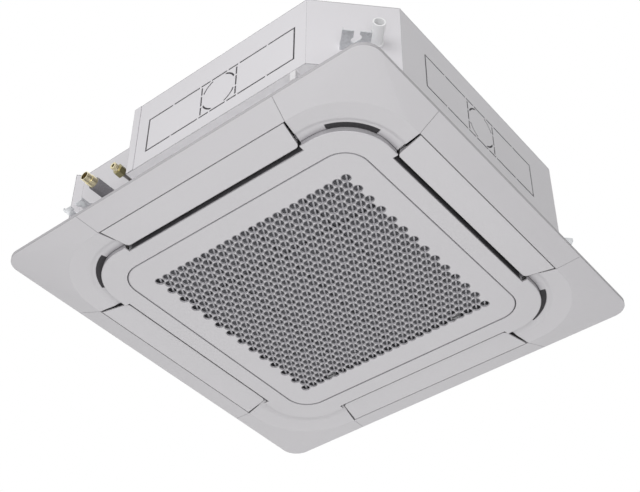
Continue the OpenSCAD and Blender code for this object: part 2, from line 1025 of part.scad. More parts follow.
module panel_hooks() {
    color("white")
        for (i = [0, 2])
            place(i)
                translate([-hook_x, 0, 0]) {
                    translate([-hook_w / 2, body_h - hook_t, step_z - hook_h])
                        cube([hook_w, hook_t, hook_h - sheet_t]);
                    translate([-hook_w / 2, body_h - hook_w, step_z - sheet_t - hook_t])
                        cube([hook_w, hook_w, hook_t]);
                    translate([-hook_w / 2, body_h - hook_w, step_z - hook_h])
                        cube([hook_w, hook_w, hook_t]);
                }
}

// Casing, its liner and its fixings

// Plan of the casing
module casing_plan() {
    polygon([
        [notch_x, -body_h], [body_h - drain_cut, -body_h], [body_h, -body_h + drain_cut],
        [body_h, body_h - plain_cut], [body_h - plain_cut, body_h],
        [-body_h + plain_cut, body_h], [-body_h, body_h - plain_cut],
        [-body_h, notch_y - notch_bevel], [-body_h + notch_bevel, notch_y], [notch_x, notch_y]
    ]);
}

// Plan of the lower skirt, shrunk by t
module skirt_plan(t) {
    h = skirt_h - t;
    c = skirt_cut - t * (2 - sqrt(2));
    polygon([
        [-h, -h + c], [-h + c, -h], [h - c, -h], [h, -h + c],
        [h, h - c], [h - c, h], [-h + c, h], [-h, h - c]
    ]);
}

// Plan of the pipe corner plate's share of the casing
module notch_region(gap) {
    translate([-body_h - over, -body_h - over])
        square([notch_len + over + sheet_t + gap, notch_depth + notch_bevel + gap]);
}

// Punched outline of a knock-out with its square and round middle pieces
module knock_out() {
    difference() {
        square([ko_len, ko_h], center = true);
        square([ko_len - 2 * slit_w, ko_h - 2 * slit_w], center = true);
        for (u = [ko_tie_a, ko_tie_b, ko_tie_c], s = [-1, 1])
            translate([s * u * ko_len, 0])
                square([tie_w, 2 * ko_h], center = true);
    }
    for (s = [-1, 1])
        translate([s * (ko_h - slit_w) / 2, 0])
            difference() {
                square([slit_w, ko_h - 2 * slit_w - 2 * tie_w], center = true);
                for (t = [-1, 1])
                    translate([0, t * ko_h / 6])
                        square([2 * slit_w, tie_w], center = true);
            }
    intersection() {
        difference() {
            circle(ko_r);
            circle(ko_r - slit_w);
        }
        for (a = [45, 135])
            rotate(a)
                square([2 * ko_h, ko_h / 3], center = true);
    }
}

module casing_shell() {
    color("gainsboro")
        difference() {
            translate([0, 0, step_z])
                linear_extrude(top_z - sheet_t - step_z)
                    difference() {
                        casing_plan();
                        offset(delta = -sheet_t)
                            casing_plan();
                        notch_region(0);
                    }
            translate([ko_front_x, -body_h + 2 * sheet_t, ko_z])
                rotate([90, 0, 0])
                    linear_extrude(4 * sheet_t)
                        knock_out();
            translate([body_h - 2 * sheet_t, ko_right_y, ko_z])
                rotate([90, 0, 90])
                    linear_extrude(4 * sheet_t)
                        knock_out();
            rotate([0, 0, -45])
                translate([corner_at - 2 * sheet_t, drain_q, drain_z])
                    bar_x(4 * sheet_t, drain_r + fit_gap);
            translate([gland_x, body_h + over, gland_z])
                rotate([90, 0, 0])
                    cylinder(4 * sheet_t, r = gland_r);
        }
}

module pipe_corner_plate() {
    color("gainsboro")
        difference() {
            union() {
                translate([0, 0, step_z])
                    linear_extrude(top_z - sheet_t - step_z)
                        intersection() {
                            difference() {
                                casing_plan();
                                offset(delta = -sheet_t)
                                    casing_plan();
                            }
                            notch_region(0);
                        }
                translate([notch_x, -body_h - sheet_t, step_z])
                    cube([strip_w, sheet_t, top_z - sheet_t - step_z]);
            }
            translate([gas_x, notch_y + over, gas_z])
                rotate([90, 0, 0])
                    cylinder(4 * sheet_t, r = gas_foam_r, center = true);
            translate([liquid_x, notch_y + over, liquid_z])
                rotate([90, 0, 0])
                    cylinder(4 * sheet_t, r = liquid_r - pipe_step + fit_gap, center = true);
        }
}

module top_plate() {
    color("silver")
        union() {
            translate([0, 0, top_z - sheet_t])
                linear_extrude(sheet_t)
                    casing_plan();
            for (i = [0:3])
                rotate([0, 0, 45 + 90 * i])
                    translate([emboss_from, -emboss_w / 2, top_z - sheet_t - emboss_h])
                        cube([emboss_len, emboss_w, emboss_h + sheet_t / 2]);
        }
}

module base_skirt() {
    color("silver")
        difference() {
            union() {
                translate([0, 0, base_z])
                    linear_extrude(step_z - base_z)
                        skirt_plan(0);
                translate([0, 0, step_z - sheet_t])
                    linear_extrude(sheet_t) {
                        casing_plan();
                        skirt_plan(0);
                    }
            }
            difference() {
                translate([0, 0, base_z - over])
                    linear_extrude(step_z - sheet_t - base_z + over)
                        skirt_plan(sheet_t);
                for (i = [0:3])
                    place(i)
                        translate([screw_x - lug_half, screw_y - lug_half, base_z])
                            cube([2 * lug_half, 3 * lug_half, sheet_t]);
            }
            translate([0, 0, step_z - 2 * sheet_t])
                linear_extrude(step_z)
                    intersection() {
                        rsq(2 * skirt_h - 2 * flange_w, flange_r);
                        offset(delta = -flange_w)
                            casing_plan();
                    }
            for (i = [0:3])
                place(i)
                    translate([screw_x, screw_y, 0])
                        cylinder(step_z, r = screw_r);
        }
}

module casing_liner() {
    gap = sheet_t + fit_gap;
    color("black")
        difference() {
            union() {
                translate([0, 0, step_z + fit_gap])
                    linear_extrude(liner_top - step_z)
                        difference() {
                            offset(delta = -gap)
                                casing_plan();
                            offset(delta = -gap - liner_t)
                                casing_plan();
                        }
                translate([0, 0, liner_top - liner_t])
                    linear_extrude(liner_t + fit_gap)
                        difference() {
                            offset(delta = -gap)
                                casing_plan();
                            circle(motor_r + motor_flange + liner_t);
                        }
            }
            rotate([0, 0, -45])
                translate([corner_at - 3 * liner_t, drain_q, drain_z])
                    bar_x(4 * liner_t, drain_r + fit_gap);
            translate([gas_x, notch_y - over, gas_z])
                rotate([-90, 0, 0])
                    cylinder(4 * liner_t, r = gas_foam_r + fit_gap);
            translate([liquid_x, notch_y - over, liquid_z])
                rotate([-90, 0, 0])
                    cylinder(4 * liner_t, r = liquid_r + fit_gap);
            translate([gland_x, body_h, gland_z])
                rotate([90, 0, 0])
                    cylinder(3 * liner_t, r = gland_r + 2 * fit_gap);
        }
}

// Hanger drawn along +X from the casing wall at x = 0, slot turned by a
module hanger(reach, bolt_in, a) {
    color("silver")
        difference() {
            union() {
                translate([0, -hanger_w / 2, hanger_z])
                    cube([reach, hanger_w, hanger_t]);
                translate([0, -hanger_w / 2, hanger_z])
                    cube([hanger_t, hanger_w, hanger_up]);
                for (s = [-1, 1])
                    translate([0, s * (hanger_w - hanger_t) / 2, hanger_z])
                        rotate([90, 0, 0])
                            linear_extrude(hanger_t, center = true)
                                polygon([
                                    [0, 0], [reach, 0], [reach, hanger_lip],
                                    [reach / 2, hanger_lip], [0, hanger_up]
                                ]);
            }
            translate([bolt_in, 0, hanger_z - over])
                linear_extrude(hanger_t + 2 * over) {
                    rotate(a)
                        for (s = [-1, 1])
                            translate([s * (bolt_slot_len / 2 - bolt_slot_r), 0])
                                circle(bolt_slot_r);
                    rotate(a)
                        square([bolt_slot_len - 2 * bolt_slot_r, 2 * bolt_slot_r], center = true);
                    translate([0, -bolt_slot_r])
                        square([reach, 2 * bolt_slot_r]);
                }
            for (s = [-1, 1])
                translate([-over, s * hanger_w / 4, hanger_z + hanger_up - hanger_lip])
                    bar_x(hanger_t + 2 * over, screw_r);
        }
}

// Cut corner's hanger: leg is the corner's leg, i its place
module corner_hanger(leg, i) {
    wall = sqrt(2) * body_h - leg / sqrt(2);
    place(i)
        rotate([0, 0, 45])
            translate([wall, 0, 0])
                hanger(sqrt(2) * bolt_pitch / 2 + hanger_end - wall, sqrt(2) * bolt_pitch / 2 - wall,
                    i % 2 == 0 ? -45 : 45);
}

// Hanger of the pipe corner, on the notch wall
module notch_hanger() {
    translate([-bolt_pitch / 2, notch_y, 0])
        rotate([0, 0, -90])
            hanger(bolt_pitch / 2 + hanger_end + notch_y, bolt_pitch / 2 + notch_y, 90);
}

// Screws that hold the hangers and the casing
module hanger_screws(wall) {
    for (s = [-1, 1])
        translate([wall + hanger_t, s * hanger_w / 4, hanger_z + hanger_up - hanger_lip]) {
            bar_x(screw_head_h, screw_head_r);
            translate([-hanger_t, 0, 0])
                bar_x(hanger_t + screw_head_h / 2, screw_r);
        }
}

module casing_screws() {
    color("silver") {
        for (i = [0, 1, 3])
            place(i)
                rotate([0, 0, 45])
                    hanger_screws(sqrt(2) * body_h - (i == 3 ? drain_cut : plain_cut) / sqrt(2));
        translate([-bolt_pitch / 2, 0, 0])
            rotate([0, 0, -90])
                hanger_screws(-notch_y);
    }
}

// Pipes and drain

// Round bar along -Y from the notch wall, from a to b outside it
module pipe_y(x, z, a, b, r) {
    translate([x, notch_y - a, z])
        rotate([90, 0, 0])
            cylinder(b - a, r = r);
}

module gas_pipe() {
    color("peru")
        difference() {
            pipe_y(gas_x, gas_z, -pipe_in, pipe_reach - union_len, gas_r - pipe_step);
            pipe_y(gas_x, gas_z, -pipe_in - over, pipe_reach, gas_r - pipe_step - pipe_wall);
        }
}

module gas_pipe_insulation() {
    color("dimgray")
        difference() {
            pipe_y(gas_x, gas_z, -pipe_in + over, pipe_reach - union_len - fit_gap, gas_foam_r - fit_gap);
            pipe_y(gas_x, gas_z, -pipe_in, pipe_reach, gas_r - pipe_step);
        }
}

module gas_union() {
    color("gold")
        difference() {
            union() {
                pipe_y(gas_x, gas_z, pipe_reach - union_len, pipe_reach, gas_r);
                pipe_y(gas_x, gas_z, pipe_reach - union_len, pipe_reach - union_len / 2, gas_r + union_lip);
            }
            pipe_y(gas_x, gas_z, pipe_reach - union_len - over, pipe_reach + over, gas_r - 2 * pipe_wall);
        }
}

module liquid_pipe() {
    color("peru")
        difference() {
            pipe_y(liquid_x, liquid_z, -pipe_in, liquid_reach - union_len, liquid_r - pipe_step);
            pipe_y(liquid_x, liquid_z, -pipe_in - over, liquid_reach, liquid_r - pipe_step - pipe_wall);
        }
}

module liquid_nut() {
    color("darkkhaki")
        translate([liquid_x, notch_y - liquid_reach + union_len, liquid_z])
            rotate([90, 0, 0])
                difference() {
                    cylinder(nut_h, r = nut_r, $fn = 6);
                    translate([0, 0, -over])
                        cylinder(nut_h + 2 * over, r = liquid_r - union_lip + pin_gap);
                }
}

module liquid_union() {
    color("gold")
        difference() {
            union() {
                pipe_y(liquid_x, liquid_z, liquid_reach - union_len, liquid_reach, liquid_r - union_lip);
                pipe_y(liquid_x, liquid_z, liquid_reach - union_len + nut_h, liquid_reach, liquid_r);
            }
            pipe_y(liquid_x, liquid_z, liquid_reach - union_len - over, liquid_reach + over,
                liquid_r - pipe_step - pipe_wall);
        }
}

// Turns children so that +X points out of the drain corner
module drain_corner() {
    rotate([0, 0, -45])
        translate([0, drain_q, drain_z])
            children();
}

module drain_outlet() {
    color("whitesmoke")
        drain_corner()
            difference() {
                union() {
                    translate([corner_at - drain_in, 0, 0])
                        bar_x(drain_in + drain_reach, drain_r);
                    translate([corner_at, 0, 0])
                        bar_x(drain_lip, drain_r + drain_flange);
                }
                translate([corner_at - drain_in - over, 0, 0])
                    bar_x(drain_in + drain_reach + 2 * over, drain_r - drain_wall);
            }
}

module drain_hose() {
    color("gray")
        drain_corner()
            difference() {
                union() {
                    translate([pump_at, 0, 0])
                        bar_x(corner_at - drain_in / 2 - pump_at, hose_r);
                    translate([pump_at, 0, 0])
                        sphere(hose_r);
                    translate([pump_at, 0, pump_top - drain_z])
                        cylinder(drain_z - pump_top, r = hose_r);
                }
                translate([pump_at, 0, 0])
                    bar_x(corner_at, hose_r - pipe_wall);
                translate([pump_at, 0, pump_top - drain_z - over])
                    cylinder(drain_z - pump_top + over, r = hose_r - pipe_wall);
            }
}

module drain_pump() {
    color("ivory")
        drain_corner() {
            translate([pump_at, 0, pump_low - drain_z])
                cylinder(pump_len, r = pump_foot_r);
            translate([pump_at, 0, pump_top - drain_z - pump_head])
                cylinder(pump_head, r = pump_r);
            translate([pump_at, 0, pump_low - drain_z])
                cylinder(pump_top - pump_low - over, r = pump_foot_r / 2);
        }
}

module float_switch() {
    color("black")
        drain_corner()
            translate([pump_at, -float_gap, 0]) {
                translate([0, 0, pump_low - drain_z])
                    cylinder(float_h, r = float_r);
                translate([0, 0, pump_low - drain_z])
                    cylinder(2 * float_h, r = float_r / 3);
                translate([-float_r, -float_r / 2, pump_low - drain_z + 2 * float_h])
                    cube([2 * float_r, float_r, float_r]);
            }
}

// Parts inside the casing

module drain_pan() {
    z0 = base_z + fit_gap;
    color("whitesmoke")
        difference() {
            translate([0, 0, z0])
                linear_extrude(pan_top - z0)
                    skirt_plan(sheet_t + fit_gap);
            translate([0, 0, base_z]) {
                linear_extrude(pan_top)
                    rsq(pan_in, coil_r);
                for (i = [0:3])
                    place(i)
                        linear_extrude(pan_top)
                            translate([-slot_x, duct_face])
                                square([2 * slot_x, duct_out - duct_face]);
            }
            translate([0, 0, bell_z - fit_gap])
                linear_extrude(pan_top)
                    rsq(bell_w + 2 * fit_gap, coil_r);
            translate([0, 0, coil_z - fit_gap])
                linear_extrude(pan_top)
                    difference() {
                        rsq(2 * (coil_in + coil_t + coil_room), coil_r + coil_t);
                        rsq(2 * (coil_in - coil_room), coil_r);
                    }
            rotate([0, 0, -45])
                translate([pump_at, drain_q - float_gap / 2, coil_z - fit_gap])
                    linear_extrude(pan_top)
                        square([2 * sump_r, 3 * sump_r], center = true);
            for (i = [0:3])
                place(i) {
                    translate([screw_x, screw_y, 0])
                        cylinder(base_z + 3 * screw_up, r = screw_r + 3 * fit_gap);
                    translate([screw_x - lug_half - fit_gap, screw_y - lug_half - fit_gap, base_z])
                        cube([2 * lug_half + 2 * fit_gap, 3 * lug_half, sheet_t + fit_gap]);
                }
        }
}

// Plan of the heat exchanger, open at the pipe corner
module coil_plan(t_in, t_out) {
    difference() {
        rsq(2 * t_out, coil_r + t_out - coil_in);
        rsq(2 * t_in, coil_r + t_in - coil_in);
        translate([-panel_w - coil_in + coil_r, -panel_w - coil_in + coil_r])
            square(panel_w);
    }
}

module coil_fins() {
    color("lightgray")
        translate([0, 0, coil_z + end_t])
            linear_extrude(coil_top - coil_z - end_t)
                coil_plan(coil_in, coil_in + coil_t);
}

module coil_end_plates() {
    h = coil_top - coil_z;
    color("silver") {
        translate([-coil_in + coil_r - end_t, -coil_in - coil_t, coil_z])
            cube([end_t, coil_t, h]);
        translate([-coil_in - coil_t, -coil_in + coil_r - end_t, coil_z])
            cube([coil_t, end_t, h]);
        translate([0, 0, coil_z])
            linear_extrude(end_t)
                coil_plan(coil_in, coil_in + coil_t);
    }
}

// Return bends of the tubes, on both ends, and the header pipes
module coil_tubes() {
    n = floor((coil_top - coil_z) / tube_step / 2) - 1;
    color("peru")
        for (m = [0, 1])
            mirror([m, -m])
                for (k = [0:n], c = m == 1 ? [1] : [-1, 1])
                    translate([-coil_in + coil_r - end_t, -coil_in - coil_t / 2 + c * coil_t / 4,
                        coil_z + tube_step * (4 * k + 3) / 2])
                        rotate([90, -90, 0])
                            rotate_extrude(angle = 180)
                                translate([tube_step / 2, 0])
                                    circle(tube_r);
    color("peru") {
        // suction header behind the gas pipe
        translate([gas_x, notch_y + pipe_in + header_r, gas_z - header_len / 2])
            cylinder(header_len, r = header_r);
        for (k = [0:n - 1])
            translate([-coil_in - coil_t / 2 - coil_t / 4, notch_y + pipe_in + header_r,
                coil_z + tube_step * (4 * k + 3) / 2])
                rotate([-90, 0, 0])
                    cylinder(-coil_in + coil_r - end_t - notch_y - pipe_in - header_r, r = tube_r);
    }
}

// Point k of the fan shroud's curve, t inside it
function shroud_point(k, t) = [
    shroud_in + t + (fan_r - shroud_in - t) * (1 - cos(90 * k / curve_n)),
    (shroud_h - t) * sin(90 * k / curve_n)
];

module turbo_fan() {
    color("ivory") {
        // shroud on the intake side
        translate([0, 0, fan_z])
            rotate_extrude()
                polygon(concat(
                    [for (k = [0:curve_n]) shroud_point(k, 0)],
                    [for (k = [curve_n:-1:0]) shroud_point(k, blade_t)]
                ));
        // back plate with its cup round the motor
        difference() {
            union() {
                translate([0, 0, fan_z + fan_h - blade_t])
                    cylinder(blade_t, r = fan_r);
                translate([0, 0, cup_z])
                    cylinder(cup_h, r = cup_r);
                translate([0, 0, cup_z - blade_t])
                    cylinder(2 * blade_t, r = hub_boss_r);
            }
            translate([0, 0, cup_z + blade_t])
                cylinder(cup_h, r = cup_r - blade_t);
            translate([0, 0, fan_z])
                cylinder(fan_h, r = shaft_r + pin_gap);
        }
        // blades
        intersection() {
            translate([0, 0, fan_z])
                rotate_extrude()
                    polygon(concat(
                        [[blade_in, fan_h - blade_t / 2], [blade_in, shroud_h]],
                        [for (k = [curve_from:curve_n]) shroud_point(k, blade_t / 2)],
                        [[fan_r, fan_h - blade_t / 2]]
                    ));
            for (i = [0:blade_n - 1])
                rotate([0, 0, 360 * i / blade_n])
                    translate([0, 0, fan_z])
                        linear_extrude(fan_h)
                            intersection() {
                                circle(fan_r - blade_t);
                                translate([0, blade_off])
                                    difference() {
                                        circle(blade_curve);
                                        circle(blade_curve - blade_t);
                                    }
                                translate([0, -fan_r])
                                    square([2 * fan_r, 2 * fan_r]);
                            }
        }
    }
}

module fan_shaft() {
    color("silver")
        translate([0, 0, cup_z - blade_t - 2 * fan_nut_h])
            cylinder(shaft_len, r = shaft_r);
}

module fan_nut() {
    color("silver")
        translate([0, 0, cup_z - blade_t - fan_nut_h])
            difference() {
                cylinder(fan_nut_h, r = 2 * shaft_r, $fn = 6);
                translate([0, 0, -over])
                    cylinder(fan_nut_h + 2 * over, r = shaft_r + pin_gap);
            }
}

module fan_motor() {
    z = cup_z + 2 * blade_t;
    color("gray")
        difference() {
            union() {
                translate([0, 0, z])
                    cylinder(motor_h, r = motor_r);
                translate([0, 0, z + motor_h - end_t])
                    cylinder(end_t, r = motor_r + motor_flange);
            }
            translate([0, 0, z - over])
                cylinder(motor_h, r = shaft_r + pin_gap);
        }
}

module motor_mounts() {
    z = cup_z + 2 * blade_t + motor_h;
    color("black")
        for (i = [0:3])
            place(i)
                translate([motor_r + motor_flange / 2, 0, z])
                    cylinder(top_z - sheet_t - z, r = mount_r);
}

// Point k of the bell mouth's curve, t outside it
function bell_point(k, t) = [
    throat_r + t + bell_flare * (1 - sin(90 * k / bell_n)),
    bell_h * (1 - cos(90 * k / bell_n))
];

module bell_mouth() {
    color("gray")
        translate([0, 0, bell_z]) {
            difference() {
                linear_extrude(blade_t)
                    rsq(bell_w, coil_r - 2 * fit_gap);
                translate([0, 0, -over])
                    cylinder(blade_t + 2 * over, r = throat_r + bell_flare);
            }
            rotate_extrude()
                polygon(concat(
                    [for (k = [0:bell_n]) bell_point(k, 0)],
                    [for (k = [bell_n:-1:curve_from]) bell_point(k, blade_t)],
                    [[throat_r + bell_flare + blade_t, blade_t], [throat_r + bell_flare + blade_t, 0]]
                ));
        }
}

module control_box() {
    color("silver")
        translate([-box_l / 2, box_y, box_z])
            difference() {
                cube([box_l, box_w, base_z - box_z]);
                translate([sheet_t, sheet_t, -over])
                    cube([box_l - 2 * sheet_t, box_w - 2 * sheet_t, base_z - box_z - sheet_t + over]);
            }
}

module control_box_cover() {
    color("silver")
        translate([-box_l / 2, box_y, box_z - sheet_t])
            cube([box_l, box_w, sheet_t]);
}

module circuit_board() {
    color("green")
        translate([-box_l / 2 + sheet_t + board_in, box_y + sheet_t + board_in, base_z - board_gap]) {
            cube([board_l, box_w - 2 * sheet_t - 2 * board_in, board_t]);
            for (i = [0:2])
                translate([board_in + i * chip_step, chip_w, -board_gap])
                    cube([chip_l, chip_w, board_gap]);
            for (i = [0, 1], j = [0, 3])
                translate([chip_w / 2 + i * 3 * chip_step, chip_w / 2 + j * chip_w - board_in, 0])
                    cylinder(board_gap - sheet_t, r = board_t);
        }
}

module terminal_block() {
    color("black")
        translate([block_x, box_y + chip_w, base_z - board_gap])
            difference() {
                cube([block_l, block_w, board_gap - sheet_t]);
                for (i = [1:block_n])
                    translate([block_l * i / (block_n + 1), block_w / 2, -over])
                        cylinder(board_gap / 2 + over, r = board_t);
            }
}

module cable_gland() {
    color("black")
        translate([gland_x, body_h + gland_lip, gland_z])
            rotate([90, 0, 0])
                difference() {
                    union() {
                        cylinder(gland_lip, r = gland_r + gland_lip);
                        cylinder(gland_len, r = gland_r - 2 * pin_gap);
                    }
                    translate([0, 0, -over])
                        cylinder(gland_len + 2 * over, r = cable_r);
                }
}

module room_air_sensor() {
    color("black")
        translate([box_l / 2 + fit_gap, box_y + box_w / 2, base_z - board_gap]) {
            rotate([90, 0, 0])
                translate([sensor_r, 0, 0])
                    cylinder(sensor_len, r = sensor_r, center = true);
            translate([0, -sensor_r, 0])
                cube([sensor_r, 2 * sensor_r, board_gap]);
        }
}

// Named nodes

module all_louver(i) {
    color("gainsboro")
        place(i)
            louver();
}

panel_frame();
color("gainsboro") place(3) corner_cover();  // corner_cover_front_right
color("gainsboro") place(0) corner_cover();  // corner_cover_back_right
color("gainsboro") place(1) corner_cover();  // corner_cover_back_left
color("gainsboro") place(2) corner_cover();  // corner_cover_front_left
all_louver(2);  // louver_front
all_louver(3);  // louver_right
all_louver(0);  // louver_back
all_louver(1);  // louver_left
louver_bushes();
louver_motors();
duct_liners();
slot_baffles();
intake_grille();
grille_backing_bars();
filter_frame();
filter_net();
latch(-1);  // latch_left
latch(1);  // latch_right
grille_hinge_pins();
panel_screws();
panel_seals();
panel_hooks();
base_skirt();
casing_shell();
pipe_corner_plate();
top_plate();
casing_liner();
casing_screws();
corner_hanger(drain_cut, 3);  // hanger_front_right
corner_hanger(plain_cut, 0);  // hanger_back_right
corner_hanger(plain_cut, 1);  // hanger_back_left
notch_hanger();  // hanger_front_left
gas_pipe();
gas_pipe_insulation();
gas_union();
liquid_pipe();
liquid_nut();
liquid_union();
drain_outlet();
drain_hose();
drain_pump();
float_switch();
drain_pan();
coil_fins();
coil_end_plates();
coil_tubes();
turbo_fan();
fan_shaft();
fan_nut();
fan_motor();
motor_mounts();
bell_mouth();
control_box();
control_box_cover();
circuit_board();
terminal_block();
cable_gland();
room_air_sensor();
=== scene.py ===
import math

import bpy
from mathutils import Matrix, Vector

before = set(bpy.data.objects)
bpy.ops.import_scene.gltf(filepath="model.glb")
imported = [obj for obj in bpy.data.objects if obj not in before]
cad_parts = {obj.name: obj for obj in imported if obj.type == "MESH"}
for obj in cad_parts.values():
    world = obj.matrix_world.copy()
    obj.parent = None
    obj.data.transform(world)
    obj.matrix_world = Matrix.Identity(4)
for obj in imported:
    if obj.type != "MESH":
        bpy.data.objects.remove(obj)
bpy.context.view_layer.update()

# Camera: the unit hangs in the air and is seen from below, past the corner with the drain outlet.
# Place, turn and lens come from a fit of the panel's and the body's corners; the shift is small.
photo_width = 640
photo_height = 492
azimuth = math.radians(37.94)
elevation = math.radians(-41.48)
roll = math.radians(-0.23)
focal_px = 1290.7
axis_px = (337.99, 257.95)
sensor_mm = 36
camera_place = Matrix.Translation((1.3106, -1.6327, -1.7523))
back = Vector((
    math.sin(azimuth) * math.cos(elevation),
    -math.cos(azimuth) * math.cos(elevation),
    math.sin(elevation),
))
level_right = Vector((math.cos(azimuth), math.sin(azimuth), 0))
level_up = back.cross(level_right)
right = level_right * math.cos(roll) + level_up * math.sin(roll)
up = back.cross(right)
camera_turn = Matrix((right, up, back)).transposed().to_4x4()
camera = bpy.data.objects.new("camera", bpy.data.cameras.new("camera"))
bpy.context.scene.collection.objects.link(camera)
camera.matrix_world = camera_place @ camera_turn
camera.data.sensor_width = sensor_mm
camera.data.lens = sensor_mm * focal_px / photo_width
camera.data.shift_x = (photo_width / 2 - axis_px[0]) / photo_width
camera.data.shift_y = (axis_px[1] - photo_height / 2) / photo_width
camera.data.clip_end = 50
bpy.context.scene.camera = camera


# Panel frame and corner covers: ABS, injection moulded, off-white with a fine spark-eroded grain.
# The grain breaks up the highlight and the colour drifts a little over each large moulding.
# Edges, upright walls and nooks get painted shade, a darker tone standing in for the shade there.
def linear(code):
    parts = [int(code[i:i + 2], 16) / 255 for i in (1, 3, 5)]
    return [p / 12.92 if p <= 0.04045 else ((p + 0.055) / 1.055) ** 2.4 for p in parts] + [1]


def blank(name):
    made = bpy.data.materials.new(name)
    made.use_nodes = True
    made.node_tree.nodes.clear()
    return made


def put(material, kind, settings={}, links={}):
    made = material.node_tree.nodes.new(kind)
    for name, value in settings.items():
        if isinstance(name, str) and hasattr(made, name):
            setattr(made, name, value)
        else:
            made.inputs[name].default_value = value
    for name, (source, output) in links.items():
        material.node_tree.links.new(source.outputs[output], made.inputs[name])
    return made


# A texture in the piece's own metres, with its features about size_mm apart
def pattern(material, kind, size_mm, settings={}):
    place = put(material, "ShaderNodeTexCoord")
    scale = {"Scale": 1000 / size_mm}
    return put(material, kind, scale | settings, {"Vector": (place, "Object")})


def two_tones(material, first, second, share):
    tones = {"data_type": "RGBA", 6: linear(first), 7: linear(second)}
    return put(material, "ShaderNodeMix", tones, {0: share})


def toned(material, tint, tone, share):
    return put(material, "ShaderNodeMix", {"data_type": "RGBA", 7: linear(tone)}, {
        0: (share, 0), 6: (tint, 2)})


# From none at the first value to all at the last
def ramp(material, source, first, last):
    return put(material, "ShaderNodeMapRange", {"From Min": first, "From Max": last}, {"Value": source})


def between(material, low, high, source):
    return put(material, "ShaderNodeMapRange", {"To Min": low, "To Max": high}, {"Value": source})


def finish(material, skin):
    put(material, "ShaderNodeOutputMaterial", {}, {"Surface": (skin, 0)})
    return material


# Marks rounded edges for a painted edge tone: painted shade on the plastics and the casing, a painted
# highlight on the motor can
def edge_share(material, radius_mm):
    round_edge = put(material, "ShaderNodeBevel", {"samples": 6, "Radius": radius_mm / 1000})
    flat = put(material, "ShaderNodeNewGeometry")
    turn = put(material, "ShaderNodeVectorMath", {"operation": "DOT_PRODUCT"}, {
        0: (round_edge, 0), 1: (flat, "True Normal")})
    return round_edge, ramp(material, (turn, "Value"), 0.999, 0.93)


# The webs between the holes are thinner than web_reach_mm and the plate is thicker; this marks the webs for
# painted shade
def web_shade_mask(material):
    web_reach_mm = 2.9
    thick_share = put(material, "ShaderNodeAmbientOcclusion", {
        "samples": 8, "inside": True, "Distance": web_reach_mm / 1000})
    return ramp(material, (thick_share, "AO"), 0.95, 0.7)


# Marks upright walls for painted shade
def wall_shade_mask(material):
    flat = put(material, "ShaderNodeNewGeometry")
    parts = put(material, "ShaderNodeSeparateXYZ", {}, {0: (flat, "True Normal")})
    level = put(material, "ShaderNodeMath", {"operation": "ABSOLUTE"}, {0: (parts, "Z")})
    return ramp(material, (level, 0), 0.5, 0.2)


# Marks nooks by occlusion for painted shade in recesses and between parts
def nook_shade_mask(material):
    nook_reach_mm = 18
    open_share = put(material, "ShaderNodeAmbientOcclusion", {
        "samples": 6, "Distance": nook_reach_mm / 1000})
    return ramp(material, (open_share, "AO"), 1.0, 0.45)


def moulded_plastic(name, pale, deep, grain_mm, rough, edge_mm=1.2,
                    painted_edge_shading="", painted_wall_shade="", painted_nook_shade="", painted_web_shade=""):
    drift_mm = 160
    grain_depth_mm = 0.02
    rough_spread = 0.06
    made = blank(name)
    drift = pattern(made, "ShaderNodeTexNoise", drift_mm, {"Detail": 3})
    tint = two_tones(made, pale, deep, (drift, "Fac"))
    round_edge, share = edge_share(made, edge_mm)
    if painted_edge_shading:
        tint = toned(made, tint, painted_edge_shading, share)
    if painted_web_shade:
        tint = toned(made, tint, painted_web_shade, web_shade_mask(made))
    if painted_wall_shade:
        tint = toned(made, tint, painted_wall_shade, wall_shade_mask(made))
    if painted_nook_shade:
        tint = toned(made, tint, painted_nook_shade, nook_shade_mask(made))
    grain = pattern(made, "ShaderNodeTexNoise", grain_mm, {"Detail": 2})
    sheen = between(made, rough - rough_spread, rough + rough_spread, (grain, "Fac"))
    relief = put(made, "ShaderNodeBump", {"Strength": 0.5, "Distance": grain_depth_mm / 1000}, {
        "Height": (grain, "Fac"), "Normal": (round_edge, 0)})
    skin = put(made, "ShaderNodeBsdfPrincipled", {"IOR": 1.53}, {
        "Base Color": (tint, 2), "Roughness": (sheen, 0), "Normal": (relief, 0)})
    return finish(made, skin)


def wear(material, *nodes):
    for name in nodes:
        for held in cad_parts[name].material_slots:
            held.material = material


# The panel's edge, wall and nook tones are painted shade
panel_abs = moulded_plastic("moulded ABS, off-white", "#d6d4d7", "#d2d0d3", 3, 0.42, edge_mm=1.5,
                            painted_edge_shading="#9b999c", painted_wall_shade="#b0aeb1", painted_nook_shade="#b9b7bb")
wear(panel_abs, "panel_frame", "corner_cover_front_right", "corner_cover_back_right",
     "corner_cover_back_left", "corner_cover_front_left")

# Louvers: ABS blades with two arms and round pins, moulded in one piece and satin on the seen side.
# The blade is a little smoother than the panel, so it takes a softer, longer highlight, and its
# rounded edges are painted dark, a painted shade that draws the seam round it.
louver_abs = moulded_plastic("moulded ABS, satin blade", "#d7d5d8", "#d3d1d4", 2.5, 0.36,
                             edge_mm=2.2, painted_edge_shading="#565457")
wear(louver_abs, "louver_front", "louver_right", "louver_back", "louver_left")

# Louver bushes and motors: acetal bushes pressed into the duct walls, zinc-plated motor cans.
# The acetal is black with a soft gloss, and the cans show pale and dark zinc crystals.
acetal = moulded_plastic("moulded acetal, black", "#1c1c1e", "#161617", 1.5, 0.34)
wear(acetal, "louver_bushes")


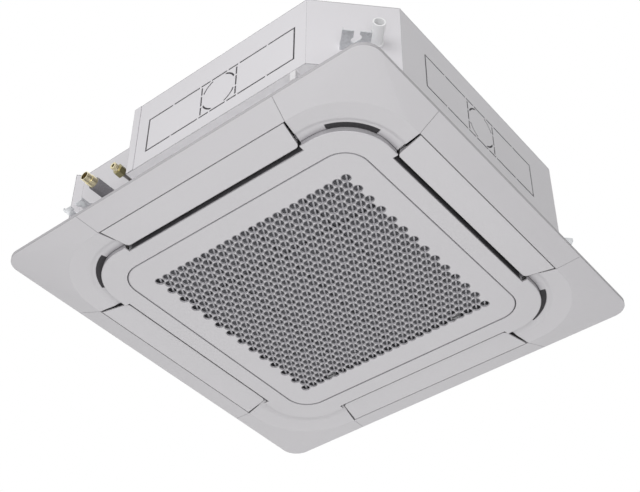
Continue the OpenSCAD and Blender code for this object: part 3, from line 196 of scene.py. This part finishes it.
def plated_steel(name, pale, deep, rough, spangle_mm):
    rough_spread = 0.06
    made = blank(name)
    crystal = pattern(made, "ShaderNodeTexVoronoi", spangle_mm)
    speck = put(made, "ShaderNodeSeparateColor", {}, {0: (crystal, "Color")})
    tint = two_tones(made, pale, deep, (speck, 0))
    sheen = between(made, rough - rough_spread, rough + rough_spread, (speck, 1))
    skin = put(made, "ShaderNodeBsdfPrincipled", {"Metallic": 1.0}, {
        "Base Color": (tint, 2), "Roughness": (sheen, 0)})
    return finish(made, skin)


zinc = plated_steel("zinc-plated steel", "#b9bcbf", "#a9acb0", 0.42, 5)
wear(zinc, "louver_motors")

# Intake grille and the bars behind it: ABS, moulded flat, with a finer matt grain than the panel.
# The thin webs between the holes are painted darker than the solid rim, painted shade for the dark holes,
# and upright hole walls get painted shade too.
# The bars stand a few millimetres behind the holes.
grille_abs = moulded_plastic("moulded ABS, matt grille", "#d8d6d9", "#d4d2d5", 2, 0.5,
                             painted_wall_shade="#c8c6cb", painted_web_shade="#7e7c81")
wear(grille_abs, "intake_grille")
bar_abs = moulded_plastic("moulded ABS, matt bars", "#d0cfd3", "#c8c7cb", 2, 0.55)
wear(bar_abs, "grille_backing_bars")

# Filter: a dark polypropylene frame with a woven net. The real mesh is under a millimetre,
# so its threads are drawn two millimetres wide to show through the holes.
filter_pp = moulded_plastic("moulded polypropylene, dark", "#58585c", "#515155", 2, 0.5)
wear(filter_pp, "filter_frame")


# Light and dark stripes, each stripe_mm wide
def stripes(material, stripe_mm, direction, settings={}):
    place = put(material, "ShaderNodeTexCoord")
    scale = {"bands_direction": direction, "Scale": 1000 / stripe_mm / 20 * math.pi}
    return put(material, "ShaderNodeTexWave", scale | settings, {"Vector": (place, "Object")})


thread_mm = 2
net = blank("woven polypropylene net")
thread_x = stripes(net, thread_mm, "X")
thread_y = stripes(net, thread_mm, "Y")
threads = put(net, "ShaderNodeMath", {"operation": "MAXIMUM"}, {0: (thread_x, "Fac"), 1: (thread_y, "Fac")})
net_tint = two_tones(net, "#545458", "#78787d", (threads, 0))
net_relief = put(net, "ShaderNodeBump", {"Distance": 0.0003}, {"Height": (threads, 0)})
net_skin = put(net, "ShaderNodeBsdfPrincipled", {"Roughness": 0.7}, {
    "Base Color": (net_tint, 2), "Normal": (net_relief, 0)})
wear(finish(net, net_skin), "filter_net")

# Grille latches: acetal sliders whose knobs stand in the last row of holes; steel hinge pins.
# The knobs are a mid grey, so they stay quiet among the dark holes.
latch_acetal = moulded_plastic("moulded acetal, grey", "#6e6e70", "#666668", 1.5, 0.4)
wear(latch_acetal, "latch_left", "latch_right")
wear(zinc, "grille_hinge_pins", "panel_screws")


# Seals, duct liners and slot baffles: closed-cell foam, cut from sheet and dull. The seals are
# black, and the duct liners are grey, painted pale low down: painted light round the louvers.
# The cells are a tenth of a millimetre and are drawn at two millimetres.
def cell_foam(name, pale, deep, cell_mm, rough, painted_lip_light="", lip_mm=(6, 9)):
    made = blank(name)
    cells = pattern(made, "ShaderNodeTexVoronoi", cell_mm)
    tint = two_tones(made, deep, pale, (cells, "Distance"))
    # Painted light: pale low down near the opening, fading to the grey higher up
    if painted_lip_light:
        place = put(made, "ShaderNodeTexCoord")
        parts = put(made, "ShaderNodeSeparateXYZ", {}, {0: (place, "Object")})
        lip = ramp(made, (parts, "Z"), lip_mm[1] / 1000, lip_mm[0] / 1000)
        tint = toned(made, tint, painted_lip_light, lip)
    relief = put(made, "ShaderNodeBump", {"Strength": 0.6, "Distance": cell_mm / 8000}, {
        "Height": (cells, "Distance")})
    skin = put(made, "ShaderNodeBsdfPrincipled", {"Roughness": rough}, {
        "Base Color": (tint, 2), "Normal": (relief, 0)})
    return finish(made, skin)


black_foam = cell_foam("closed-cell foam, black", "#454346", "#2e2d30", 2, 0.9)
wear(black_foam, "panel_seals", "slot_baffles", "casing_liner")
grey_foam = cell_foam("closed-cell foam, grey, painted light low down", "#6f6d71", "#5c5a5e", 2, 0.9,
                      painted_lip_light="#fbfafc")
wear(grey_foam, "duct_liners")

# Panel hooks: small white clips that hold the panel while its screws go in.
# The nylon is a touch whiter and glossier than the coated skirt behind them.
hook_nylon = moulded_plastic("moulded nylon, white", "#e2e1e2", "#dddcde", 2, 0.4)
wear(hook_nylon, "panel_hooks")


# Casing: galvanised sheet with an off-white coating, punched and folded.
# The coating is smooth, with a faint orange peel of a few millimetres, and its folds and
# punched slits get a painted edge tone, by default a painted shade darker than the sheet.
def coated_sheet(name, pale, deep, peel_mm, rough, painted_edge_shading="#77757a"):
    drift_mm = 220
    fold_mm = 1.2
    peel_depth_mm = 0.04
    rough_spread = 0.05
    made = blank(name)
    drift = pattern(made, "ShaderNodeTexNoise", drift_mm, {"Detail": 2})
    tint = two_tones(made, pale, deep, (drift, "Fac"))
    round_edge, share = edge_share(made, fold_mm)
    tint = toned(made, tint, painted_edge_shading, share)
    peel = pattern(made, "ShaderNodeTexNoise", peel_mm, {"Detail": 1})
    relief = put(made, "ShaderNodeBump", {"Strength": 0.3, "Distance": peel_depth_mm / 1000}, {
        "Height": (peel, "Fac"), "Normal": (round_edge, 0)})
    sheen = between(made, rough - rough_spread, rough + rough_spread, (drift, "Fac"))
    skin = put(made, "ShaderNodeBsdfPrincipled", {"Coat Weight": 0.15, "Coat Roughness": 0.3}, {
        "Base Color": (tint, 2), "Roughness": (sheen, 0), "Normal": (relief, 0)})
    return finish(made, skin)


casing_paint = coated_sheet("coated galvanised sheet, off-white", "#dddbdf", "#d9d7da", 4, 0.4)
wear(casing_paint, "casing_shell", "pipe_corner_plate", "top_plate")
# The skirt is a whiter copy of the casing paint, painted light that lifts its shaded underside
skirt_paint_lightened = coated_sheet("coated galvanised sheet, lightened as painted light", "#eeedef", "#e9e8ea", 4, 0.45)
wear(skirt_paint_lightened, "base_skirt")
wear(zinc, "casing_screws")

# Hangers: zinc-plated steel, pressed, with two turned-up flanges and an open slot for the bolt.
# They are a paler copy of the zinc, a painted highlight that shows them lit by the front lamp.
zinc_painted_lighter = plated_steel("zinc-plated steel, painted lighter as a highlight", "#d6d8da", "#c6c8ca", 0.36, 5)
wear(zinc_painted_lighter, "hanger_front_right", "hanger_back_right", "hanger_back_left", "hanger_front_left")


# Pipes: copper with turned brass unions and a plated nut, the liquid pipe tinned and dull;
# a foam rubber tube on the gas pipe. Turning leaves fine rings round the unions, drawn a
# millimetre wide, and drawing leaves broad faint bands on the tubes.
def turned_metal(name, pale, deep, rough, ring_mm, along):
    made = blank(name)
    rings = stripes(made, ring_mm, along, {"Distortion": 0.4})
    tint = two_tones(made, pale, deep, (rings, "Fac"))
    relief = put(made, "ShaderNodeBump", {"Strength": 0.4, "Distance": 0.0002}, {"Height": (rings, "Fac")})
    sheen = between(made, rough - 0.05, rough + 0.08, (rings, "Fac"))
    skin = put(made, "ShaderNodeBsdfPrincipled", {"Metallic": 1.0}, {
        "Base Color": (tint, 2), "Roughness": (sheen, 0), "Normal": (relief, 0)})
    return finish(made, skin)


brass = turned_metal("turned brass", "#f0e8cb", "#dccfa2", 0.24, 1.2, "Y")
wear(brass, "gas_union", "liquid_union")
nut_brass = turned_metal("plated brass nut", "#a39c78", "#8f8966", 0.36, 1.2, "Y")
wear(nut_brass, "liquid_nut")
copper = turned_metal("drawn copper", "#c98a66", "#b47450", 0.34, 8, "Y")
wear(copper, "gas_pipe", "coil_tubes")
dull_tube = turned_metal("drawn copper, tinned", "#a5a2a1", "#8d8a89", 0.4, 8, "Y")
wear(dull_tube, "liquid_pipe")
pipe_foam = cell_foam("foam rubber tube, grey", "#8c8a8e", "#737175", 2, 0.85)
wear(pipe_foam, "gas_pipe_insulation", "drain_hose")

# Drain outlet: a white PVC stub with a flange, joined to the pump by a hose; pump and float switch.
# The stub is whiter and glossier than the casing, and the pump's housing is cream.
drain_pvc = moulded_plastic("moulded PVC, white", "#f4f4f5", "#eeeeef", 2, 0.3)
wear(drain_pvc, "drain_outlet")
pump_pp = moulded_plastic("moulded polypropylene, cream", "#d8d6c8", "#d0cebf", 2, 0.4)
wear(pump_pp, "drain_pump")
wear(acetal, "float_switch", "terminal_block", "room_air_sensor")

# Drain pan: expanded polystyrene, steam moulded, its beads about four millimetres across.
# Each bead is a shade paler at its edge, so the pan looks grainy close up and white from afar.
bead_eps = cell_foam("expanded polystyrene, white", "#e6e6e4", "#d6d6d4", 4, 0.8)
wear(bead_eps, "drain_pan")

# Heat exchanger: thin aluminium fins on copper tubes, between zinc-plated end plates.
# The real fins are 1.5 millimetres apart, and their stripes are drawn three millimetres wide.
fin_mm = 3
fins = blank("pressed aluminium fins")
fin_lines = stripes(fins, fin_mm, "DIAGONAL")
fin_tint = two_tones(fins, "#4c4f52", "#c6c9cc", (fin_lines, "Fac"))
fin_relief = put(fins, "ShaderNodeBump", {"Distance": 0.001}, {"Height": (fin_lines, "Fac")})
fin_skin = put(fins, "ShaderNodeBsdfPrincipled", {"Metallic": 0.9, "Roughness": 0.4}, {
    "Base Color": (fin_tint, 2), "Normal": (fin_relief, 0)})
wear(finish(fins, fin_skin), "coil_fins")
wear(zinc, "coil_end_plates")

# Fan: a moulded turbo wheel on a steel shaft, its nut, the motor with a coated can, rubber mounts.
# The wheel is a warm white, the can a mid grey and the bell mouth below it a lighter grey.
fan_abs = moulded_plastic("moulded ABS, fan white", "#d8d8d4", "#d0d0cc", 2, 0.42)
wear(fan_abs, "turbo_fan")
wear(zinc, "fan_shaft", "fan_nut")
# The can's rounded rims get a lighter edge tone, a painted highlight
motor_coat = coated_sheet("coated steel can, grey", "#77797b", "#6e7072", 3, 0.45, "#8b8d8f")
wear(motor_coat, "fan_motor")
rubber = moulded_plastic("moulded rubber, black", "#1f1f20", "#181819", 1.5, 0.7)
wear(rubber, "motor_mounts", "cable_gland")
bell_pp = moulded_plastic("moulded polypropylene, grey", "#9b9da0", "#939598", 2, 0.45)
wear(bell_pp, "bell_mouth")

# Control box: zinc-plated sheet with a lid, a green board with its parts, a terminal block.
# The lid shows below when the grille hangs open, with the same crystals as the motor cans.
wear(zinc, "control_box", "control_box_cover")
board = moulded_plastic("coated circuit board", "#1f5c38", "#184c2d", 5, 0.35)
wear(board, "circuit_board")


# Studio: the unit hangs over a pale floor, under a white world that only the camera and
# mirrors see at full strength. Soft lamps stand in front, low behind on the left, and near
# the camera.
def lamp(name, spot, aim, size, power):
    made = bpy.data.lights.new(name, "AREA")
    made.shape = "SQUARE"
    made.size = size
    made.energy = power
    held = bpy.data.objects.new(name, made)
    bpy.context.scene.collection.objects.link(held)
    held.location = spot
    held.rotation_mode = "QUATERNION"
    held.rotation_quaternion = (Vector(aim) - Vector(spot)).to_track_quat("-Z", "Y")
    held.visible_camera = False


unit_middle = (0, 0, 0.1)
panel_middle = (0, 0, 0)
lamp("lamp front", (0.9, -3.3, 0.3), unit_middle, 2.4, 46)
lamp("lamp below", (-1.0, 1.0, -2.3), unit_middle, 2.4, 22)
lamp("lamp near", (1.6, -1.9, -1.6), panel_middle, 1.4, 24)

reach = 6
floor_z = -2.9
corners = [(-reach, -reach, 0), (reach, -reach, 0), (reach, reach, 0), (-reach, reach, 0)]
floor_mesh = bpy.data.meshes.new("floor")
floor_mesh.from_pydata(corners, [], [(0, 1, 2, 3)])
floor = bpy.data.objects.new("floor", floor_mesh)
bpy.context.scene.collection.objects.link(floor)
floor.location = (0, 0, floor_z)
paper = blank("pale studio paper")
paper_grain_mm = 25
paper_grain = pattern(paper, "ShaderNodeTexNoise", paper_grain_mm)
paper_tint = two_tones(paper, "#f4f4f4", "#efefef", (paper_grain, "Fac"))
paper_skin = put(paper, "ShaderNodeBsdfPrincipled", {"Roughness": 0.9}, {"Base Color": (paper_tint, 2)})
paper_rays = put(paper, "ShaderNodeLightPath")
mirrored = put(paper, "ShaderNodeMath", {"operation": "MAXIMUM"}, {
    0: (paper_rays, "Is Glossy Ray"), 1: (paper_rays, "Is Transmission Ray")})
paper_glow = put(paper, "ShaderNodeEmission", {"Color": linear("#f4f4f4")})
paper_mix = put(paper, "ShaderNodeMixShader", {}, {
    0: (mirrored, 0), 1: (paper_skin, 0), 2: (paper_glow, 0)})
floor_mesh.materials.append(finish(paper, paper_mix))

world = bpy.data.worlds.new("studio")
bpy.context.scene.world = world
world.use_nodes = True
world.node_tree.nodes.clear()
rays = put(world, "ShaderNodeLightPath")
seen = put(world, "ShaderNodeMath", {"operation": "MAXIMUM"}, {
    0: (rays, "Is Camera Ray"), 1: (rays, "Is Glossy Ray")})
seen_all = put(world, "ShaderNodeMath", {"operation": "MAXIMUM"}, {
    0: (seen, 0), 1: (rays, "Is Transmission Ray")})
fill_light = 0.36
strength = between(world, fill_light, 1.0, (seen_all, 0))
sky = put(world, "ShaderNodeBackground", {"Color": (1, 1, 1, 1)}, {"Strength": (strength, 0)})
put(world, "ShaderNodeOutputWorld", {}, {"Surface": (sky, 0)})

bpy.context.scene.view_settings.view_transform = "Standard"
